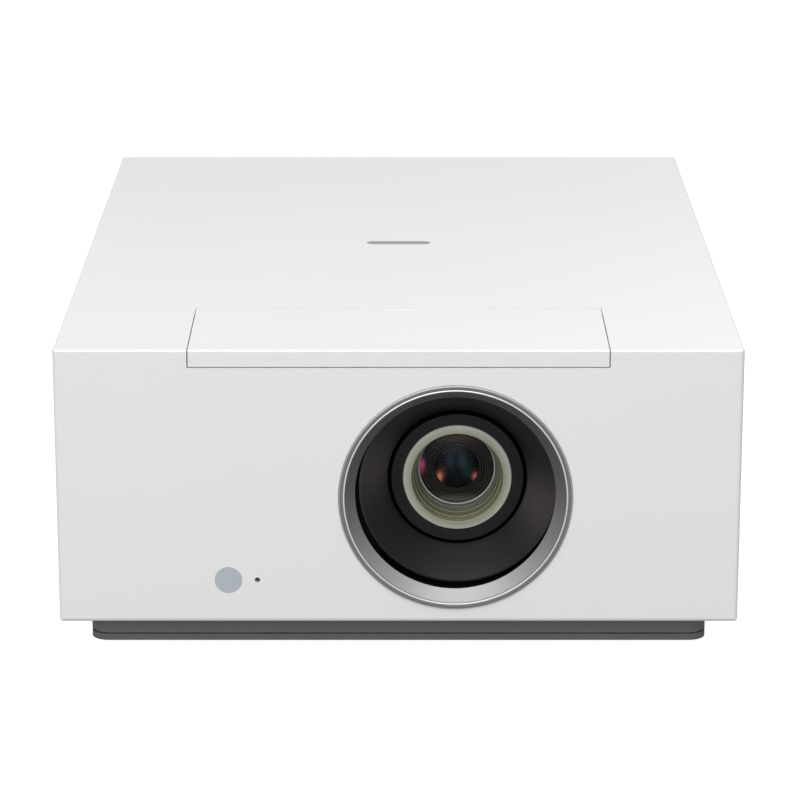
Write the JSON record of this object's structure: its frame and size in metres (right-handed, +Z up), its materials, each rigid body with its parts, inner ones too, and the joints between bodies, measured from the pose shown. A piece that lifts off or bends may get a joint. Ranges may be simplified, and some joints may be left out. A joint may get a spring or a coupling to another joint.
{
  "type": "home projector",
  "caption": "Box-shaped white home projector with an offset recessed lens, a lift-up lid over the lens controls, side grilles, rear sockets and a dark inset base.",
  "frame": {"origin": "middle of the footprint, on the surface that the feet stand on", "axes": "+X to the right seen from the front, -Y out of the front face with the lens, +Z up"},
  "size_m": [0.31, 0.41, 0.146],
  "materials": {
    "white_case": "fine satin moulded white",
    "white_grille": "satin moulded light grey",
    "grey_inner_plastic": "fine moulded texture",
    "dark_grey_base": "satin dark grey",
    "silver_bezel": "satin silver with a bright edge",
    "black_plastic": "fine moulded black",
    "black_shroud": "satin black",
    "black_anodised": "black anodised",
    "pale_cell": "ground pale cream",
    "lens_glass": "coated clear glass",
    "prism_glass": "polished",
    "smoked_window": "satin translucent grey blue",
    "steel": "plain",
    "steel_shell": "pressed",
    "cast_alloy": "cast",
    "aluminium_sink": "extruded",
    "brass": "knurled",
    "brass_block": "machined",
    "phosphor_yellow": "phosphor coated",
    "green_board": "solder mask",
    "tan_board": "bare laminate",
    "grey_button": "satin",
    "black_rubber": "moulded"
  },
  "bodies": {
    "root": {"upper_case": "white_case", "rear_panel": "white_case", "bottom_case": "white_case", "base_plinth": "dark_grey_base", "base_plate": "dark_grey_base", "left_grille": "white_grille", "right_grille": "white_grille", "lid_hinge_pins": "steel", "adjuster_tray": "grey_inner_plastic", "lens_bezel": "silver_bezel", "lens_tunnel": "black_plastic", "ir_window": "smoked_window", "sensor_board": "green_board", "lens_mount_frame": "cast_alloy", "horizontal_guide_rods": "steel", "optical_engine_case": "cast_alloy", "optical_engine_cover": "cast_alloy", "prism": "prism_glass", "imager_board": "green_board", "imager_heatsink": "aluminium_sink", "laser_bank": "brass_block", "laser_heatsink": "aluminium_sink", "wheel_motor": "steel", "relay_lenses": "prism_glass", "main_board": "green_board", "power_supply_board": "tan_board", "signal_sockets": "steel_shell", "lan_socket": "black_plastic", "audio_jack": "black_plastic", "mains_inlet": "black_plastic", "left_speaker": "black_plastic", "right_speaker": "black_plastic", "intake_fan_frame": "black_plastic", "exhaust_fan_frame": "black_plastic", "rear_feet": "black_rubber", "mount_inserts": "brass", "case_screws": "steel"},
    "lid": {"adjustment_lid": "white_case"},
    "horizontal_carriage": {"horizontal_carriage": "cast_alloy", "vertical_guide_rods": "steel"},
    "vertical_carriage": {"vertical_carriage": "cast_alloy", "lens_barrel": "black_anodised", "lens_shroud": "black_shroud", "rear_lens_group": "black_anodised"},
    "horizontal_dial": {"horizontal_shift_dial": "black_plastic"},
    "vertical_dial": {"vertical_shift_dial": "black_plastic"},
    "focus_ring": {"focus_ring": "black_plastic"},
    "focus_group": {"front_lens_cell": "pale_cell", "front_element": "lens_glass", "front_baffle": "black_anodised"},
    "zoom_ring": {"zoom_ring": "black_plastic"},
    "zoom_group": {"zoom_group": "black_anodised"},
    "phosphor_wheel": {"phosphor_wheel": "phosphor_yellow"},
    "intake_fan_rotor": {"intake_fan_rotor": "black_plastic"},
    "exhaust_fan_rotor": {"exhaust_fan_rotor": "black_plastic"},
    "power_button": {"power_button": "grey_button"},
    "left_foot_pad": {"left_foot_pad": "black_rubber"},
    "left_foot_screw": {"left_foot_screw": "steel"},
    "right_foot_pad": {"right_foot_pad": "black_rubber"},
    "right_foot_screw": {"right_foot_screw": "steel"}
  },
  "joints": [
    {"name": "lid_hinge", "type": "hinge", "parent": "root", "child": "lid", "pos_m": [0, -0.1322, 0.144], "axis": [-1, 0, 0], "range_deg": [0, 85]},
    {"name": "horizontal_shift", "type": "slide", "parent": "root", "child": "horizontal_carriage", "axis": [1, 0, 0], "range_m": [-0.0025, 0.0025]},
    {"name": "vertical_shift", "type": "slide", "parent": "horizontal_carriage", "child": "vertical_carriage", "axis": [0, 0, 1], "range_m": [-0.0035, 0.0035]},
    {"name": "horizontal_dial_turn", "type": "hinge", "parent": "root", "child": "horizontal_dial", "pos_m": [-0.0689, -0.1507, 0.108], "axis": [1, 0, 0], "range_deg": [-181, 181]},
    {"name": "vertical_dial_turn", "type": "hinge", "parent": "horizontal_carriage", "child": "vertical_dial", "pos_m": [-0.0309, -0.1507, 0.108], "axis": [0, 0, 1], "range_deg": [-253, 253]},
    {"name": "focus_slide", "type": "slide", "parent": "vertical_carriage", "child": "focus_group", "axis": [0, 1, 0], "range_m": [-0.0015, 0.0015]},
    {"name": "focus_ring_turn", "type": "hinge", "parent": "vertical_carriage", "child": "focus_ring", "pos_m": [0.0271, -0.1591, 0.0765], "axis": [0, 1, 0], "range_deg": [-30.1, 30.1]},
    {"name": "zoom_slide", "type": "slide", "parent": "vertical_carriage", "child": "zoom_group", "axis": [0, 1, 0], "range_m": [-0.008, 0.008]},
    {"name": "zoom_ring_turn", "type": "hinge", "parent": "vertical_carriage", "child": "zoom_ring", "pos_m": [0.0271, -0.1492, 0.0765], "axis": [0, 1, 0], "range_deg": [-30.1, 30.1]},
    {"name": "phosphor_wheel_spin", "type": "hinge", "parent": "root", "child": "phosphor_wheel", "pos_m": [-0.0609, -0.071, 0.0685], "axis": [1, 0, 0], "continuous": true},
    {"name": "intake_fan_spin", "type": "hinge", "parent": "root", "child": "intake_fan_rotor", "pos_m": [-0.1504, -0.071, 0.0765], "axis": [1, 0, 0], "continuous": true},
    {"name": "exhaust_fan_spin", "type": "hinge", "parent": "root", "child": "exhaust_fan_rotor", "pos_m": [0.1504, -0.071, 0.0765], "axis": [1, 0, 0], "continuous": true},
    {"name": "power_button_press", "type": "slide", "parent": "root", "child": "power_button", "axis": [0, -1, 0], "range_m": [0, 0.0012], "stiffness_N_per_m": 500, "springref_m": -0.0006},
    {"name": "left_foot_height", "type": "slide", "parent": "root", "child": "left_foot_pad", "axis": [0, 0, -1], "range_m": [0, 0.008]},
    {"name": "left_foot_turn", "type": "hinge", "parent": "left_foot_pad", "child": "left_foot_screw", "pos_m": [-0.118, -0.1672, 0.0015], "axis": [0, 0, 1], "range_deg": [-1, 2305]},
    {"name": "right_foot_height", "type": "slide", "parent": "root", "child": "right_foot_pad", "axis": [0, 0, -1], "range_m": [0, 0.008]},
    {"name": "right_foot_turn", "type": "hinge", "parent": "right_foot_pad", "child": "right_foot_screw", "pos_m": [0.118, -0.1672, 0.0015], "axis": [0, 0, 1], "range_deg": [-1, 2305]}
  ],
  "couplings": [
    {"joint": "horizontal_dial_turn", "follows": "horizontal_shift", "rad_per_m": 1256.6},
    {"joint": "vertical_dial_turn", "follows": "vertical_shift", "rad_per_m": 1256.6},
    {"joint": "focus_ring_turn", "follows": "focus_slide", "rad_per_m": 349.07},
    {"joint": "zoom_ring_turn", "follows": "zoom_slide", "rad_per_m": 65.45},
    {"joint": "left_foot_turn", "follows": "left_foot_height", "rad_per_m": 5026.5},
    {"joint": "right_foot_turn", "follows": "right_foot_height", "rad_per_m": 5026.5}
  ]
}
